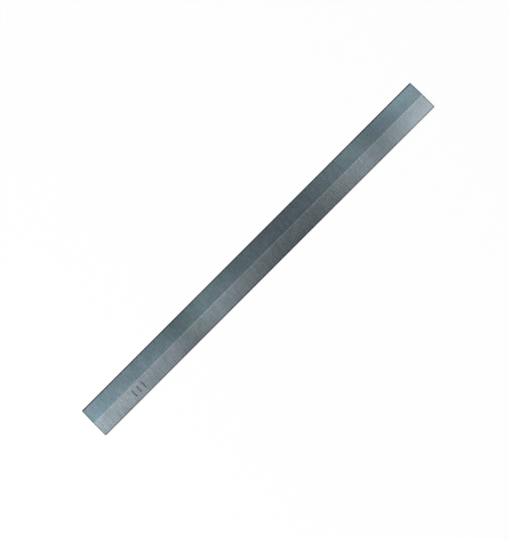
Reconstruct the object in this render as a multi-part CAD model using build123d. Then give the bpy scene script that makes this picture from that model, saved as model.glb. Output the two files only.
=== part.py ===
from build123d import *
from math import radians, tan
import os

# A straight, single-edged planer knife, ground from one flat bar of high-speed steel.
# X runs along the knife, +Y points to the cutting edge and Z is its thickness.
# The origin is under the middle of the knife, on the flat rake face that it lies on.

# Stock, in millimetres
knife_length = 406.4        # 16 in
knife_width = 30.1625       # 1 3/16 in, from the spine to the cutting edge
stock_thickness = 3.175     # 1/8 in

# Seat land: the full-thickness strip beside the spine, which bears on the cutterhead
seat_land_width = 14.7

# Relief grind, cutting bevel and honed strip: what is ground away between land and edge
nose_thickness = 1.0        # left where the relief grind ends and the cutting bevel starts
cutting_angle = 40.0        # degrees, from the rake face to the cutting bevel
honing_step = 8.0           # degrees, by which the honed strip is steeper than the bevel
honed_height = 0.12         # of the honed strip, above the rake face

# Arrises
ridge_radius = 6.0          # blends the seat land into the relief grind
spine_break = 0.5           # 45 degree break along both edges of the spine
end_break = 0.4             # 45 degree break round both ends

# Places across the knife that follow from these sizes
spine_y = -knife_width / 2
tip_y = knife_width / 2
ridge_y = spine_y + seat_land_width
honed_y = tip_y - honed_height / tan(radians(cutting_angle + honing_step))
shoulder_y = honed_y - (nose_thickness - honed_height) / tan(radians(cutting_angle))


def knife_outline():
    """Sharp outline of the section as (Y, Z) points: rake face first, then the ground side."""
    return Polyline(
        (spine_y, 0),
        (tip_y, 0),
        (honed_y, honed_height),
        (shoulder_y, nose_thickness),
        (ridge_y, stock_thickness),
        (spine_y, stock_thickness),
        close=True,
    )


def corner(section, y, z):
    """The corner of the section nearest to the place (y, z)."""
    return section.vertices().sort_by_distance((0, y, z))[0]


def knife_section():
    """The section as ground: the ridge rounded and both edges of the spine broken."""
    section = Plane.YZ * make_face(knife_outline())
    section = fillet(corner(section, ridge_y, stock_thickness), ridge_radius)
    spine_edges = [corner(section, spine_y, z) for z in (0, stock_thickness)]
    return chamfer(spine_edges, spine_break)


def end_arrises(bar):
    """Edges round both ends as far as the cutting bevel, which stays crisp to its corners."""
    ends = bar.faces().filter_by(Axis.X)
    return [edge for edge in ends.edges() if edge.center().Y < shoulder_y]


def planer_knife():
    """The knife: its section run along the whole length, with the end arrises broken."""
    bar = extrude(knife_section(), amount=knife_length / 2, both=True)
    return chamfer(end_arrises(bar), end_break)


os.makedirs("parts", exist_ok=True)
export_step(planer_knife(), "parts/planer_knife.step")
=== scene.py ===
# %% [markdown]
# # A planer knife
#
# A planer knife is a long flat bar of high-speed steel with one sharp long edge. A wood planer
# spins several of them in its cutterhead. This one has a full-thickness strip beside its spine,
# the seat land, and then a wide relief grind that slopes down to a narrow cutting bevel.
# Its solid arrives finished and at its real size, in metres, so nothing is modelled twice here.
# What is left to make is the look: ground steel, an etched mark, a table, light and a camera.

# %% Load the knife
import math
from types import SimpleNamespace

import bpy
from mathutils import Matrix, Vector


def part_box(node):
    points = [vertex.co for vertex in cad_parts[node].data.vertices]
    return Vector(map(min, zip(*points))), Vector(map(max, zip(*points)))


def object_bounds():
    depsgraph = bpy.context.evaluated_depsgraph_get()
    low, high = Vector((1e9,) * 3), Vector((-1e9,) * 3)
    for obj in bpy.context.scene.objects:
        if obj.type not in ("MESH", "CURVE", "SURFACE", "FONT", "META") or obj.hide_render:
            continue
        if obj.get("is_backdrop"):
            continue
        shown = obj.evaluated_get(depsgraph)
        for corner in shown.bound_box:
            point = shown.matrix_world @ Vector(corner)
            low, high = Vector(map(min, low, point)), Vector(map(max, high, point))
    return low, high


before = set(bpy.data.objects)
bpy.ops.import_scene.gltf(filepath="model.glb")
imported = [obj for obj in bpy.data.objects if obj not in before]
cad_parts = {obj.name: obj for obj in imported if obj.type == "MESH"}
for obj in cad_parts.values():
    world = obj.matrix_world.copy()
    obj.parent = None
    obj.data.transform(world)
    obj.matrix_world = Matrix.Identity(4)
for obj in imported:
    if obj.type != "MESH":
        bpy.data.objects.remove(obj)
cad_low, cad_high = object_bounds()
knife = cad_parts["planer_knife"]
low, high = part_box("planer_knife")
half_length = (high.x - low.x) / 2
half_width = (high.y - low.y) / 2
print("knife, mm:", [round(side * 1000, 2) for side in high - low])

# %% [markdown]
# ## The camera
#
# The picture looks straight down, with the knife on a diagonal from lower left to upper right.
# A camera could be aimed by eye, but a flat thing seen square on can be set exactly: the knife's
# length in pixels gives the scale, the lens turns that into a height, and half a right angle
# gives the diagonal. The sensor's width belongs to the longer side of the picture, which is its
# height. With a longish lens the camera stands high above the knife, so that even its ends are
# seen almost from straight above. The Standard view transform keeps the white ground white.

# %% Camera
lens_mm = 85.0
sensor_mm = 36.0
picture_px = Vector((508, 539))
knife_span_px = 465.35
knife_centre_px = Vector((258.0, 258.9))
diagonal = math.radians(-45)

metres_per_px = 2 * half_length / knife_span_px
camera_height = picture_px.y * metres_per_px * lens_mm / sensor_mm
picture_right = Vector((math.cos(diagonal), math.sin(diagonal), 0))
picture_up = Vector((-math.sin(diagonal), math.cos(diagonal), 0))
off_centre = (knife_centre_px - picture_px / 2) * metres_per_px

camera = bpy.data.objects.new("camera", bpy.data.cameras.new("camera"))
camera.data.lens = lens_mm
camera.data.sensor_width = sensor_mm
camera.location = off_centre.y * picture_up - off_centre.x * picture_right
camera.location.z = high.z + camera_height
camera.rotation_euler = (0, 0, diagonal)
bpy.context.scene.collection.objects.link(camera)
bpy.context.scene.camera = camera
bpy.context.scene.view_settings.view_transform = "Standard"
print("camera height, mm:", round(camera_height * 1000, 1))

# %% [markdown]
# ## Small helpers for node trees
#
# Materials are graphs, and building a graph by hand takes many lines. These few helpers keep the
# recipes below short. The first puts a number or a link into a socket, and the other four add a
# sum, a smooth ramp, a mix of two colours and a cloudy noise.

# %% Node helpers
def feed(tree, socket, value):
    """Links an output to the socket, or sets a plain number, vector or colour on it."""
    if isinstance(value, bpy.types.NodeSocket):
        tree.links.new(value, socket)
    else:
        socket.default_value = value


def calc(tree, operation, *values):
    """A Math node with its inputs fed in order; returns its output."""
    node = tree.nodes.new("ShaderNodeMath")
    node.operation = operation
    for socket, value in zip(node.inputs, values):
        feed(tree, socket, value)
    return node.outputs[0]


def ramp(tree, value, start, stop, at_start=0.0, at_stop=1.0):
    """Eases from at_start to at_stop while value goes from start to stop."""
    node = tree.nodes.new("ShaderNodeMapRange")
    node.interpolation_type = "SMOOTHSTEP"
    for title, number in (("Value", value), ("From Min", start), ("From Max", stop),
                          ("To Min", at_start), ("To Max", at_stop)):
        feed(tree, node.inputs[title], number)
    return node.outputs["Result"]


def blend(tree, share, first, second):
    """Mixes two colours, first at a share of 0 and second at 1."""
    node = tree.nodes.new("ShaderNodeMix")
    node.data_type = "RGBA"
    feed(tree, node.inputs["Factor"], share)
    for title, colour in (("A", first), ("B", second)):
        socket = next(s for s in node.inputs if s.name == title and s.type == "RGBA")
        feed(tree, socket, colour)
    return next(s for s in node.outputs if s.type == "RGBA")


def cloud(tree, x, y, z=0.0, detail=2.0):
    """Noise, near 0.5 on average, that changes about once for each step of 1 in x, y or z."""
    place = tree.nodes.new("ShaderNodeCombineXYZ")
    for socket, value in zip(place.inputs, (x, y, z)):
        feed(tree, socket, value)
    node = tree.nodes.new("ShaderNodeTexNoise")
    node.inputs["Scale"].default_value = 1.0
    node.inputs["Detail"].default_value = detail
    tree.links.new(place.outputs[0], node.inputs["Vector"])
    return node.outputs["Fac"]


# %% [markdown]
# An effect that several surfaces share is a node group: it is built once, and each material that
# places it gives it values of its own. One helper opens a group with named sockets, and one
# places it in a material.

# %% Group helpers
def open_group(name, inputs, outputs):
    """A new shader node group; returns it with its given values and its sockets to fill."""
    tree = bpy.data.node_groups.new(name, "ShaderNodeTree")
    for title, start in inputs.items():
        socket = tree.interface.new_socket(title, in_out="INPUT", socket_type="NodeSocketFloat")
        socket.default_value = start
    for title in outputs:
        tree.interface.new_socket(title, in_out="OUTPUT", socket_type="NodeSocketFloat")
    given = tree.nodes.new("NodeGroupInput").outputs
    results = tree.nodes.new("NodeGroupOutput").inputs
    return tree, given, results


def use_group(tree, group, **values):
    """Places a group in a material, with its sockets fed by name; returns its outputs."""
    node = tree.nodes.new("ShaderNodeGroup")
    node.node_tree = group
    for title, value in values.items():
        feed(tree, node.inputs[title.replace("_", " ")], value)
    return node.outputs


# %% [markdown]
# ## Grinding lines
#
# A grinding wheel leaves thousands of fine lines, all with one lay. On a knife they cross the
# bar in very flat arcs, because the wheel is much wider than the bar. They could be modelled as
# grooves, but they are only about a thousandth of a millimetre deep, so noise stretched along
# the lay is closer to the truth. One group serves every ground surface: each says where its lay
# is. A face that is ground lengthwise has straight lines, so its radius is too large to show.
#
# The group gives the height of the lines, and a mask of streaks and short scratches. Those are
# several lines wide, because one line is finer than a pixel of the picture. Their widths and
# lengths are counted in line pitches, so a finer grind has finer marks too, and each kind comes
# from a level of its own in the noise, so that one doesn't repeat the other.

# %% Node group: grinding lines
wheel_radius = 0.15
straight_radius = 1000.0
streaks = {"width": 4.0, "length": 16.0, "level": 3.7}
scratches = {"width": 3.0, "length": 5.0, "level": 9.1}
mark_borders = (0.38, 0.62)


def make_grinding_lines():
    """Fine lines along the lay, and a mask of streaks and short scratches."""
    tree, given, results = open_group(
        "grinding lines",
        {"Across": 0.0, "Along": 0.0, "Pitch": 0.0005, "Run": 0.03, "Wheel Radius": wheel_radius},
        ["Height", "Streak"],
    )
    bow = calc(tree, "DIVIDE", calc(tree, "POWER", given["Along"], 2.0), given["Wheel Radius"])
    across = calc(tree, "ADD", given["Across"], calc(tree, "MULTIPLY", bow, 0.5))
    line = calc(tree, "DIVIDE", across, given["Pitch"])
    along = calc(tree, "DIVIDE", given["Along"], given["Run"])
    feed(tree, results["Height"], cloud(tree, line, along, detail=3.0))
    pitches_along = calc(tree, "DIVIDE", given["Along"], given["Pitch"])
    marks = 0.0
    for kind in (streaks, scratches):
        x = calc(tree, "DIVIDE", line, kind["width"])
        y = calc(tree, "DIVIDE", pitches_along, kind["length"])
        marks = calc(tree, "MULTIPLY_ADD", cloud(tree, x, y, kind["level"]), 0.5, marks)
    feed(tree, results["Streak"], ramp(tree, marks, *mark_borders))
    return tree


grinding_lines = make_grinding_lines()
print("group:", grinding_lines.name)

# %% [markdown]
# ## Painted reflection bands
#
# These bands are painted reflection: paler and darker stretches along the knife, put into
# the steel's colour where the lamps alone don't give them. They cross the land and the relief
# grind alike, each with soft borders. Noise would put them anywhere, so each band here has its
# own place along the knife, its reach to either side and its strength.

# %% Node group: painted reflection bands
painted_reflection_bands = (
    (-0.092, 0.031, -0.17),
    (-0.052, 0.040, 0.285),
    (0.049, 0.073, -0.165),
    (0.126, 0.025, 0.135),
    (0.147, 0.040, -0.32),
)


def make_painted_reflection_tone():
    """Painted reflection: how much paler or darker the steel is at a place along the knife; 1 is
    unchanged.
    """
    tree, given, results = open_group("painted reflection tone", {"X": 0.0}, ["Tone"])
    total = 1.0
    for place, reach, strength in painted_reflection_bands:
        away = calc(tree, "ABSOLUTE", calc(tree, "SUBTRACT", given["X"], place))
        total = calc(tree, "ADD", total, ramp(tree, away, 0.0, reach, strength, 0.0))
    feed(tree, results["Tone"], total)
    return tree


painted_reflection_tone = make_painted_reflection_tone()
print("group:", painted_reflection_tone.name)

# %% [markdown]
# ## Oil film
#
# Bare tool steel is wiped with oil so that it doesn't rust. The film lies unevenly, and where it
# is thicker the steel looks a little darker and bluer. Where it is thinnest it has a trace of the
# colours of oil on water, violet in one spot and green in the next. A picture of a stain would
# repeat itself and needs a file, so the film is two clouds of noise of different sizes, laid over
# each other, and a third cloud for the tints. The shares below say how a thick film and each of
# the two tints change the steel's red, green and blue.

# %% Node group: oil film
film_shares = (0.74, 0.80, 0.82)
violet_shares = (1.016, 0.986, 1.019)
green_shares = (0.984, 1.012, 0.981)
times_finer = 3.1
fine_share = 0.3
tint_size = 0.01
tint_offset = 7.3
film_borders = (0.36, 0.64)


def make_oil_film():
    """Two masks from 0 to 1: where the film is thick, and which of its tints it has."""
    tree, given, results = open_group(
        "oil film", {"X": 0.0, "Y": 0.0, "Z": 0.0, "Size": 0.02}, ["Film", "Tint"]
    )
    wide = [calc(tree, "DIVIDE", given[axis], given["Size"]) for axis in "XYZ"]
    fine = [calc(tree, "MULTIPLY", side, times_finer) for side in wide]
    wide_film = calc(tree, "MULTIPLY", cloud(tree, *wide), 1 - fine_share)
    film = calc(tree, "MULTIPLY_ADD", cloud(tree, *fine), fine_share, wide_film)
    feed(tree, results["Film"], ramp(tree, film, *film_borders))
    spot = [calc(tree, "MULTIPLY_ADD", given[axis], 1 / tint_size, tint_offset) for axis in "XYZ"]
    feed(tree, results["Tint"], ramp(tree, cloud(tree, *spot), *film_borders))
    return tree


oil_film = make_oil_film()
print("group:", oil_film.name)

# %% [markdown]
# ## The painted shade round the knife
#
# Seen from above, the knife has a thin dark line all round, and it is painted shade. Part of it
# is the edge breaks and the cutting bevel, which get dark surfaces of their own further on. The
# rest is painted on the flat faces beside them, and it reaches further in along the middle than
# near the ends. A dark strip of mesh would do, but it would need cuts in a solid that is already
# right, so this group measures how far a point is from the knife's outline, and the material
# shades the last millimetre or two.

# %% Node group: painted edge shade
edge_shade_reach = 0.0013
middle_until = 0.02
ends_from = 0.10
further_at_middle = 1.35


def make_painted_edge_shade():
    """Painted shade: a mask that is 1 at the knife's outline, seen from above, and 0 beyond its
    reach.
    """
    tree, given, results = open_group(
        "painted edge shade", {"X": 0.0, "Y": 0.0, "Reach": edge_shade_reach}, ["Line"]
    )
    from_middle = calc(tree, "ABSOLUTE", given["X"])
    from_end = calc(tree, "SUBTRACT", half_length, from_middle)
    from_side = calc(tree, "SUBTRACT", half_width, calc(tree, "ABSOLUTE", given["Y"]))
    nearest = calc(tree, "MINIMUM", from_end, from_side)
    further = ramp(tree, from_middle, middle_until, ends_from, further_at_middle, 1.0)
    reach = calc(tree, "MULTIPLY", given["Reach"], further)
    feed(tree, results["Line"], ramp(tree, nearest, 0.0, reach, 1.0, 0.0))
    return tree


painted_edge_shade = make_painted_edge_shade()
print("group:", painted_edge_shade.name)

# %% [markdown]
# ## Ground steel
#
# Every surface of the knife is the same steel, ground in its own way, so they share one recipe:
# a metal shader whose highlight is stretched across the lines, a base colour that wanders with
# the film, the painted reflection bands and the lines, and a bump from the lines themselves. It
# needs a few helpers more. The stretch is a plain number on the shader, and only its direction,
# across the lines, comes in as a vector, so that it turns with the knife.

# %% Helpers for ground steel
def coordinates(tree, kind="Object"):
    """X, Y and Z of the point being shaded; those of the Object kind are metres on the knife."""
    source = tree.nodes.new("ShaderNodeTexCoord")
    split = tree.nodes.new("ShaderNodeSeparateXYZ")
    tree.links.new(source.outputs[kind], split.inputs[0])
    return split.outputs


def stretched_along(tree, shader, direction):
    """Stretches the shader's highlight along a direction of the knife."""
    turn = tree.nodes.new("ShaderNodeVectorTransform")
    turn.vector_type = "VECTOR"
    turn.convert_from = "OBJECT"
    turn.convert_to = "WORLD"
    turn.inputs[0].default_value = direction
    tree.links.new(turn.outputs[0], shader.inputs["Tangent"])


def bumped(tree, height, depth):
    """A normal for lines of this depth in metres."""
    bump = tree.nodes.new("ShaderNodeBump")
    bump.inputs["Strength"].default_value = 1.0
    bump.inputs["Distance"].default_value = depth
    tree.links.new(height, bump.inputs["Height"])
    return bump.outputs["Normal"]


def filtered(colour, shares):
    """A share of the colour's red, green and blue, with full alpha."""
    return (*(part * share for part, share in zip(colour, shares)), 1.0)


def scaled(tree, colour, share):
    """A colour output made lighter or darker by a value output."""
    node = tree.nodes.new("ShaderNodeVectorMath")
    node.operation = "SCALE"
    feed(tree, node.inputs[0], colour)
    feed(tree, node.inputs["Scale"], share)
    return node.outputs[0]


def around_one(tree, mask, contrast):
    """A tone that a mask makes darker or lighter than 1, by half the contrast at most."""
    return calc(tree, "MULTIPLY_ADD", mask, contrast, 1 - contrast / 2)


# %% [markdown]
# In the recipe itself, what differs from surface to surface is a handful of numbers: a colour, a
# roughness, how much a thick film shows, which way the lines run, and how far apart and how deep
# they are. Streaks and lines change the tone a little, and streaks the roughness too. Every
# surface goes on a list, which dresses the knife at the end.

# %% Recipe for ground steel
streak_contrast = 0.13
line_contrast = 0.42
roughness_spread = 0.015
surfaces = {}


def ground_steel(name, colour, roughness, stretch, film=0.35, lay="Y", across="X",
                 pitch=0.0005, depth=1e-6, radius=wheel_radius):
    """A ground surface whose lines run along the lay; returns its parts for extras."""
    material = bpy.data.materials.new(name)
    material.use_nodes = True
    tree = material.node_tree
    shader = tree.nodes["Principled BSDF"]
    shader.inputs["Metallic"].default_value = 1.0
    shader.inputs["Anisotropic"].default_value = stretch
    stretched_along(tree, shader, [float(axis == across) for axis in "XYZ"])
    place = coordinates(tree)
    lines = use_group(tree, grinding_lines, Across=place[across], Along=place[lay],
                      Pitch=pitch, Wheel_Radius=radius)
    oil = use_group(tree, oil_film, X=place["X"], Y=place["Y"], Z=place["Z"])
    # wheel here holds the painted reflection bands along the knife
    wheel = use_group(tree, painted_reflection_tone, X=place["X"])
    steel = blend(tree, oil["Tint"], filtered(colour, violet_shares), filtered(colour, green_shares))
    thick = calc(tree, "MULTIPLY", oil["Film"], film)
    steel = blend(tree, thick, steel, filtered(colour, film_shares))
    streak_tone = around_one(tree, lines["Streak"], streak_contrast)
    line_tone = around_one(tree, lines["Height"], line_contrast)
    tone = calc(tree, "MULTIPLY", wheel["Tone"], calc(tree, "MULTIPLY", streak_tone, line_tone))
    steel = scaled(tree, steel, tone)
    smoothest = roughness - roughness_spread / 2
    rough = calc(tree, "MULTIPLY_ADD", lines["Streak"], roughness_spread, smoothest)
    feed(tree, shader.inputs["Base Color"], steel)
    feed(tree, shader.inputs["Roughness"], rough)
    feed(tree, shader.inputs["Normal"], bumped(tree, lines["Height"], depth))
    surfaces[name] = material
    print(f"surface: {name}, roughness {roughness}")
    return SimpleNamespace(tree=tree, shader=shader, place=place, steel=steel, rough=rough)


# %% [markdown]
# ## The etched mark
#
# Knives are etched with a mark near one end. Here it is a count of plain strokes, the kind that
# tells which slot of the cutterhead the knife belongs to. An etch has almost no depth: acid and
# current leave a dull dark oxide, so it belongs in the material and not in the mesh. The strokes
# are one box repeated along the knife, with sides that waver a little.

# %% Strokes of the mark
mark_centre = Vector((-0.1538, -0.0069))
stroke_count = 3
stroke_pitch = 0.0056
stroke_width = 0.0019
stroke_height = 0.0070
stroke_softness = 0.0002
waver_length = 0.0016
waver_width = 0.00012


def within(tree, distance, limit):
    """A mask that is 1 up to the limit and 0 beyond it, with a soft border."""
    return ramp(tree, distance, limit - stroke_softness, limit + stroke_softness, 1.0, 0.0)


def etched_strokes(tree, place):
    """A mask that is 1 inside the strokes."""
    waver = cloud(tree, *(calc(tree, "DIVIDE", place[axis], waver_length) for axis in "XY"))
    waver = calc(tree, "MULTIPLY", calc(tree, "SUBTRACT", waver, 0.5), waver_width)
    x = calc(tree, "SUBTRACT", place["X"], mark_centre.x)
    y = calc(tree, "SUBTRACT", place["Y"], mark_centre.y)
    to_first = stroke_pitch * (stroke_count - 1) / 2
    from_stroke = calc(tree, "PINGPONG", calc(tree, "ADD", x, to_first), stroke_pitch / 2)
    in_stroke = within(tree, calc(tree, "ADD", from_stroke, waver), stroke_width / 2)
    in_height = within(tree, calc(tree, "ABSOLUTE", y), stroke_height / 2)
    in_row = calc(tree, "LESS_THAN", calc(tree, "ABSOLUTE", x), stroke_count * stroke_pitch / 2)
    return calc(tree, "MULTIPLY", in_stroke, calc(tree, "MULTIPLY", in_row, in_height))


# %% [markdown]
# ## Tone across the wide faces
#
# The two wide faces get one slow change of tone more, from the ridge outwards: darker towards
# their long edges at the left and lighter at the right. Each says between which places along
# the knife it turns round. They share the painted edge shade too.

# %% Tone across the faces, and painted edge shade
edge_shade_black = (0.05, 0.055, 0.06, 1.0)
edge_shade_strength = 0.85


def toned_across(surface, left, right, between):
    """Darkens the steel by a share from the ridge to its long edge, or pales it below 0."""
    tree, place = surface.tree, surface.place
    share = ramp(tree, place["X"], *between, left, right)
    outwards = calc(tree, "DIVIDE", calc(tree, "ABSOLUTE", place["Y"]), half_width)
    from_halfway = calc(tree, "SUBTRACT", 0.5, outwards)
    return scaled(tree, surface.steel, calc(tree, "MULTIPLY_ADD", from_halfway, share, 1.0))


def edge_shaded(surface, steel):
    """The steel with painted edge shade, a dark line along the knife's outline."""
    tree, place = surface.tree, surface.place
    # line here is the painted edge shade mask
    line = use_group(tree, painted_edge_shade, X=place["X"], Y=place["Y"])["Line"]
    return blend(tree, calc(tree, "MULTIPLY", line, edge_shade_strength), steel, edge_shade_black)


# %% [markdown]
# ## The surfaces, one by one
#
# The seat land is the plainest: even grey, with the mark, and the painted edge shade along the
# spine and the ends.

# %% Seat land
steel_grey = (0.455, 0.535, 0.577)
etch_black = (0.09, 0.10, 0.11, 1.0)
etch_strength = 0.78
etch_dullness = 0.3


def seat_land():
    """The full-thickness strip beside the spine, with the etched mark."""
    land = ground_steel("seat land", steel_grey, roughness=0.25, stretch=0.35, film=0.45)
    steel = toned_across(land, left=0.17, right=-0.18, between=(0.08, 0.18))
    etch = calc(land.tree, "MULTIPLY", etched_strokes(land.tree, land.place), etch_strength)
    steel = blend(land.tree, etch, steel, etch_black)
    rough = calc(land.tree, "MULTIPLY_ADD", etch, etch_dullness, land.rough)
    feed(land.tree, land.shader.inputs["Base Color"], edge_shaded(land, steel))
    feed(land.tree, land.shader.inputs["Roughness"], rough)


seat_land()

# %% [markdown]
# Where the land ends and the relief grind begins, the ridge shows as one thin light line from end
# to end. Its pale colour is painted highlight, brightest along the middle and dimmer towards the
# ends.

# %% Ridge
ridge_highlight_steel = (0.545, 0.66, 0.72)
highlight_full_until = 0.06
highlight_least_from = 0.19
highlight_most = 1.06
highlight_least = 0.87


def ridge():
    """The narrow rounded strip between the seat land and the relief grind."""
    strip = ground_steel("ridge", ridge_highlight_steel, roughness=0.25, stretch=0.35, film=0.1)
    from_middle = calc(strip.tree, "ABSOLUTE", strip.place["X"])
    # painted highlight along the ridge, strongest in the middle
    painted_highlight = ramp(strip.tree, from_middle, highlight_full_until, highlight_least_from,
                   highlight_most, highlight_least)
    feed(strip.tree, strip.shader.inputs["Base Color"], scaled(strip.tree, strip.steel, painted_highlight))


ridge()

# %% [markdown]
# The relief grind has the same lay as the land, but it slopes down to the cutting bevel. Its
# colour is darker and bluer than the land's, and it shows a little more of the oil film.

# %% Relief grind
relief_blue = (0.272, 0.376, 0.429)


def relief_grind():
    """The wide sloping facet between the ridge and the cutting bevel."""
    grind = ground_steel("relief grind", relief_blue, roughness=0.26, stretch=0.4, film=0.5)
    steel = toned_across(grind, left=0.17, right=-0.07, between=(-0.06, 0.03))
    feed(grind.tree, grind.shader.inputs["Base Color"], edge_shaded(grind, steel))


relief_grind()

# %% [markdown]
# The cutting bevel is sharpened last, with a finer wheel. Its dark colour is painted shade: it
# draws the dark line along the cutting edge. The honed strip at its tip is almost a mirror,
# stroked lengthwise with a stone.

# %% Cutting bevel and honed strip
bevel_shade_dark = (0.21, 0.23, 0.24)
honed_bright = (0.42, 0.44, 0.45)
finer_pitch = 0.0003

# dark bevel colour: painted shade
ground_steel("cutting bevel", bevel_shade_dark, roughness=0.22, stretch=0.3, film=0.1,
             pitch=finer_pitch)
ground_steel("honed strip", honed_bright, roughness=0.08, stretch=0.2, film=0.0,
             lay="X", across="Y", radius=straight_radius)

# %% [markdown]
# The spine and the two ends are ground with the finer wheel too, but they are duller than the
# faces. The spine is ground lengthwise, so its lines are straight, and those of the ends are flat
# arcs again. The knife never shows them while it works.

# %% Spine and ends
dull_steel = (0.29, 0.31, 0.325)

for name, lay, radius in (("spine", "X", straight_radius), ("ends", "Y", wheel_radius)):
    ground_steel(name, dull_steel, roughness=0.32, stretch=0.4, lay=lay, across="Z",
                 pitch=finer_pitch, radius=radius)

# %% [markdown]
# The edge breaks are the only faces that no wheel reaches. Their near-black colour is painted
# shade, the outermost part of the dark line round the knife, and it is worn through to grey steel
# in small spots. The clouds of the oil film, ten times smaller, put those spots in their places.

# %% Edge breaks
break_shade_black = (0.06, 0.065, 0.07)
worn_grey = (0.16, 0.17, 0.18, 1.0)
worn_spot_size = 0.002
worn_borders = (0.75, 1.0)
most_worn = 0.6


def edge_breaks():
    """The dark narrow slopes round the spine and the ends."""
    # near-black painted shade, with worn grey spots
    breaks = ground_steel("edge breaks", break_shade_black, roughness=0.42, stretch=0.2, film=0.5,
                          lay="X", across="Z", depth=4e-6)
    tree, place = breaks.tree, breaks.place
    spots = use_group(tree, oil_film, X=place["X"], Y=place["Y"], Z=place["Z"],
                      Size=worn_spot_size)["Film"]
    worn = ramp(tree, spots, *worn_borders, 0.0, most_worn)
    feed(tree, breaks.shader.inputs["Base Color"], blend(tree, worn, breaks.steel, worn_grey))


edge_breaks()

# %% [markdown]
# The rake face is the flat side that the knife lies on, ground like the seat land.

# %% Rake face
ground_steel("rake face", steel_grey, roughness=0.25, stretch=0.35)

# %% [markdown]
# ## Which face gets which surface
#
# The knife is one solid, so its faces are told apart by where they point. That needs no face
# numbers, which would change whenever a size of the knife does: the flat top is the seat land,
# the steepest of the gentle slopes is the relief grind, and what lies between them is the ridge.
# The steep slopes are the cutting bevel and, steeper still, the honed strip. Slopes are in
# degrees. The last two values are for the parts of a face's normal, which are near 1 along the
# axis that it points to and near 0 across it.

# %% Sort the faces
gentle_below = 30.0
slope_margin = 0.5
along_axis = 0.99
across_axis = 0.01


def slope(face):
    """Degrees by which a face leans away from facing up."""
    return math.degrees(face.normal.angle(Vector((0, 0, 1))))


def runs_lengthwise(face):
    """Whether a face leans only towards the cutting edge, or not at all."""
    return abs(face.normal.x) < across_axis and face.normal.y > -across_axis


lengthwise_slopes = [slope(face) for face in knife.data.polygons if runs_lengthwise(face)]
relief_slope = max(lean for lean in lengthwise_slopes if lean < gentle_below)
bevel_slope = min(lean for lean in lengthwise_slopes if lean >= gentle_below)


def surface_of(face):
    """The name of the surface that a face belongs to."""
    lean = slope(face)
    if lean > 180 - slope_margin:
        return "rake face"
    if abs(face.normal.x) > along_axis:
        return "ends"
    if face.normal.y < -along_axis:
        return "spine"
    if not runs_lengthwise(face):
        return "edge breaks"
    if lean < slope_margin:
        return "seat land"
    if lean < relief_slope - slope_margin:
        return "ridge"
    if lean < gentle_below:
        return "relief grind"
    return "cutting bevel" if lean < bevel_slope + slope_margin else "honed strip"


print(f"relief grind at {relief_slope:.1f} degrees, cutting bevel at {bevel_slope:.1f}")

# %% [markdown]
# Then the knife's mesh gets a material slot for each surface, and each face the number of its
# slot. The areas are a check: a surface with none would be a face that wasn't found.

# %% Dress the knife
knife.data.materials.clear()
for material in surfaces.values():
    knife.data.materials.append(material)
slots = list(surfaces)
areas = dict.fromkeys(slots, 0.0)
for face in knife.data.polygons:
    name = surface_of(face)
    face.material_index = slots.index(name)
    areas[name] += face.area
for name, area in areas.items():
    print(f"{name}: {area * 1e6:.1f} mm2")

# %% [markdown]
# ## The table
#
# A cut-out picture has a pure white ground and no shadow. A white board lit from above would
# show a soft shadow round the knife, so this table is lit from inside, like a light table, and
# only a part of its white comes from the lamps. It lies a hair below the knife, so that the two
# flat faces don't share one plane.

# %% Table
table_half_side = 8.0
table_gap = 0.00005
table_glow = 0.91
table_white = 0.12


def lit_table():
    """A pale glowing plane just under the knife."""
    material = bpy.data.materials.new("lit table")
    material.use_nodes = True
    shader = material.node_tree.nodes["Principled BSDF"]
    shader.inputs["Base Color"].default_value = (table_white, table_white, table_white, 1.0)
    shader.inputs["Roughness"].default_value = 1.0
    shader.inputs["Specular IOR Level"].default_value = 0.0
    shader.inputs["Emission Color"].default_value = (1.0, 1.0, 1.0, 1.0)
    shader.inputs["Emission Strength"].default_value = table_glow
    mesh = bpy.data.meshes.new("table")
    side = table_half_side
    corners = [(-side, -side, 0), (side, -side, 0), (side, side, 0), (-side, side, 0)]
    mesh.from_pydata(corners, [], [(0, 1, 2, 3)])
    mesh.materials.append(material)
    plane = bpy.data.objects.new("table", mesh)
    plane.location.z = low.z - table_gap
    bpy.context.scene.collection.objects.link(plane)
    return plane


table = lit_table()
table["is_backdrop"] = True
print("table:", 2 * table_half_side, "m square")

# %% [markdown]
# ## Light
#
# Ground metal shows the room more than its own colour. This knife is darkest a little right of its
# middle and brightens to both ends, because towards its ends it mirrors two large soft lamps, and
# between them only a dark ceiling. That gradient could be painted on the steel, but then it would
# stay put when the knife is turned. Area lamps give it for free, and it moves as a reflection
# should. A pale panel beside the left lamp softens its border, and a weak warm panel in the gap
# keeps the middle from turning blue. Each lamp's energy is worked out from its area, so that its
# reflection keeps its brightness when the lamp gets another size.

# %% Soft lamps
lamp_height = 1.5
lamp_y = 0.1
lamp_width = 2.0
warm_colour = (1.0, 0.45, 0.35)


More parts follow.
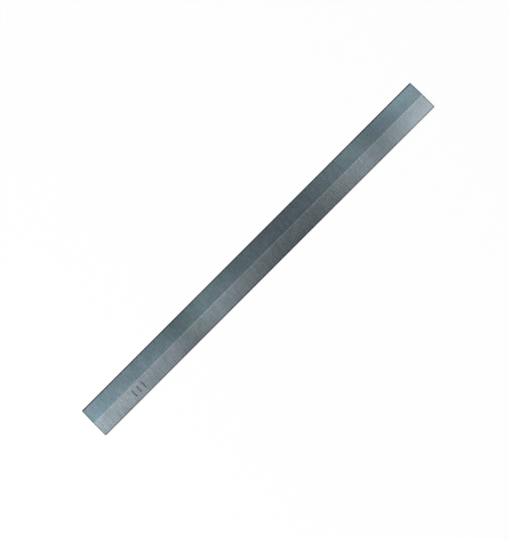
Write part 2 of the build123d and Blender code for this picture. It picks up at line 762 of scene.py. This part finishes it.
def soft_lamp(name, centre, size, brightness, colour=(1.0, 1.0, 1.0)):
    """A rectangular lamp that faces down and looks equally bright at any size."""
    light = bpy.data.lights.new(name, "AREA")
    light.shape = "RECTANGLE"
    light.size, light.size_y = size
    light.energy = brightness * math.pi * size[0] * size[1]
    light.color = colour
    lamp = bpy.data.objects.new(name, light)
    lamp.location = (*centre, lamp_height)
    bpy.context.scene.collection.objects.link(lamp)


soft_lamp("left lamp", (-1.285, lamp_y), (1.37, lamp_width), brightness=2.38)
soft_lamp("pale panel", (-0.315, lamp_y), (0.57, lamp_width), brightness=0.29)
soft_lamp("warm panel", (0.17, 0.65), (0.40, 0.9), brightness=0.07, colour=warm_colour)
soft_lamp("right lamp", (0.535, lamp_y), (0.33, lamp_width), brightness=1.32)

# %% [markdown]
# The room itself is dark only overhead, between the lamps. Its walls are pale, so that the knife
# looks like steel from every side and not like black glass. The way up tells wall from ceiling:
# it is 0 at the horizon and 1 straight overhead. The camera sees a white backdrop instead.

# %% Room and backdrop
low_wall = (0.17, 0.175, 0.18, 1.0)
high_wall = (0.45, 0.455, 0.46, 1.0)
dark_ceiling = (0.030, 0.033, 0.030, 1.0)
backdrop_white = (0.93, 0.935, 0.93, 1.0)
wall_brightens = (10, 26)
ceiling_begins = (50, 58)


def up_between(tree, elevations):
    """A mask that goes from 0 to 1 between two elevations in degrees above the horizon."""
    up = coordinates(tree, "Generated")["Z"]
    return ramp(tree, up, *(math.sin(math.radians(angle)) for angle in elevations))


world = bpy.data.worlds.new("studio")
bpy.context.scene.world = world
world.use_nodes = True
tree = world.node_tree
room = blend(tree, up_between(tree, wall_brightens), low_wall, high_wall)
room = blend(tree, up_between(tree, ceiling_begins), room, dark_ceiling)
sight = tree.nodes.new("ShaderNodeLightPath").outputs["Is Camera Ray"]
feed(tree, tree.nodes["Background"].inputs["Color"], blend(tree, sight, room, backdrop_white))
print("world:", world.name)

# %% [markdown]
# ## Last checks
#
# The dressed knife has to fill the same box as the solid, so the largest difference between the
# two boxes is printed.

# %% Sizes and finish
seen_low, seen_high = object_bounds()
differences = ((seen_high - cad_high).length, (seen_low - cad_low).length)
print("largest difference, mm:", round(1000 * max(differences), 4))
